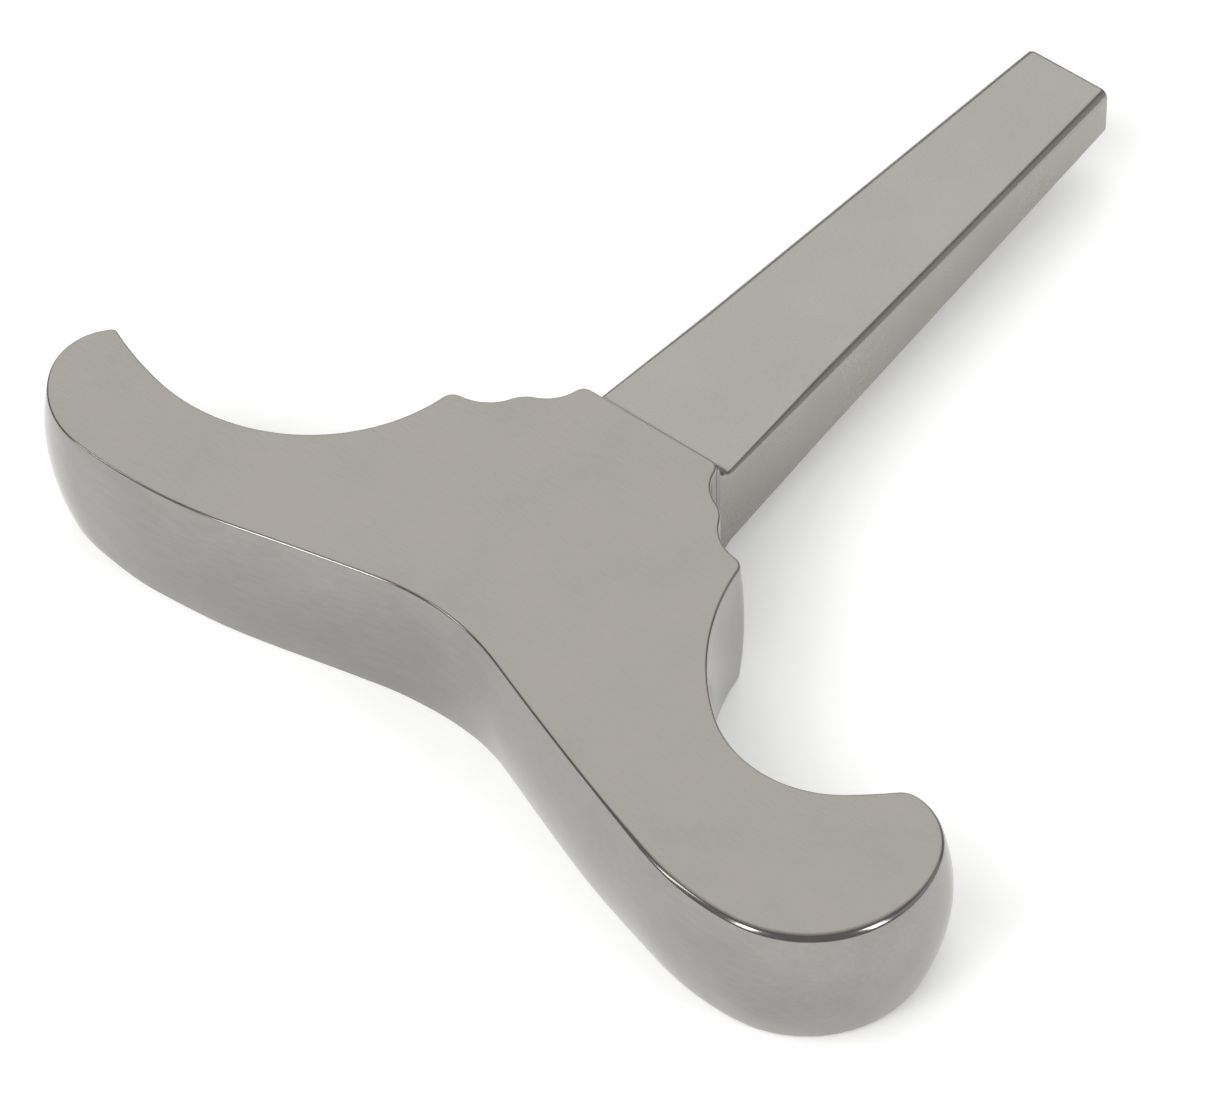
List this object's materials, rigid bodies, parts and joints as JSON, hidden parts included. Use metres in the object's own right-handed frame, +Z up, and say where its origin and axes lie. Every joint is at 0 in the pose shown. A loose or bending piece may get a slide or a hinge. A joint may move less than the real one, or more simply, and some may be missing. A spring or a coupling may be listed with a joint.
{
  "type": "metal forming stake",
  "caption": "Flat T-shaped hand forming stake with two unlike curved wings, a saddle between them, a scalloped neck and a tapered tang for a stake holder.",
  "frame": {"origin": "middle of the footprint, on the ground face the stake lies on", "axes": "+Z up through the thickness, +X along the width of the head towards the larger wing, +Y out towards the end of the tang"},
  "size_m": [0.0858, 0.089, 0.0127],
  "materials": {
    "head_steel": "ground flat faces with fine diagonal grain, polished side walls",
    "tang_steel": "satin, finely blasted as-cast surface"
  },
  "bodies": {
    "root": {"forming_head": "head_steel", "tapered_tang": "tang_steel"}
  },
  "joints": []
}
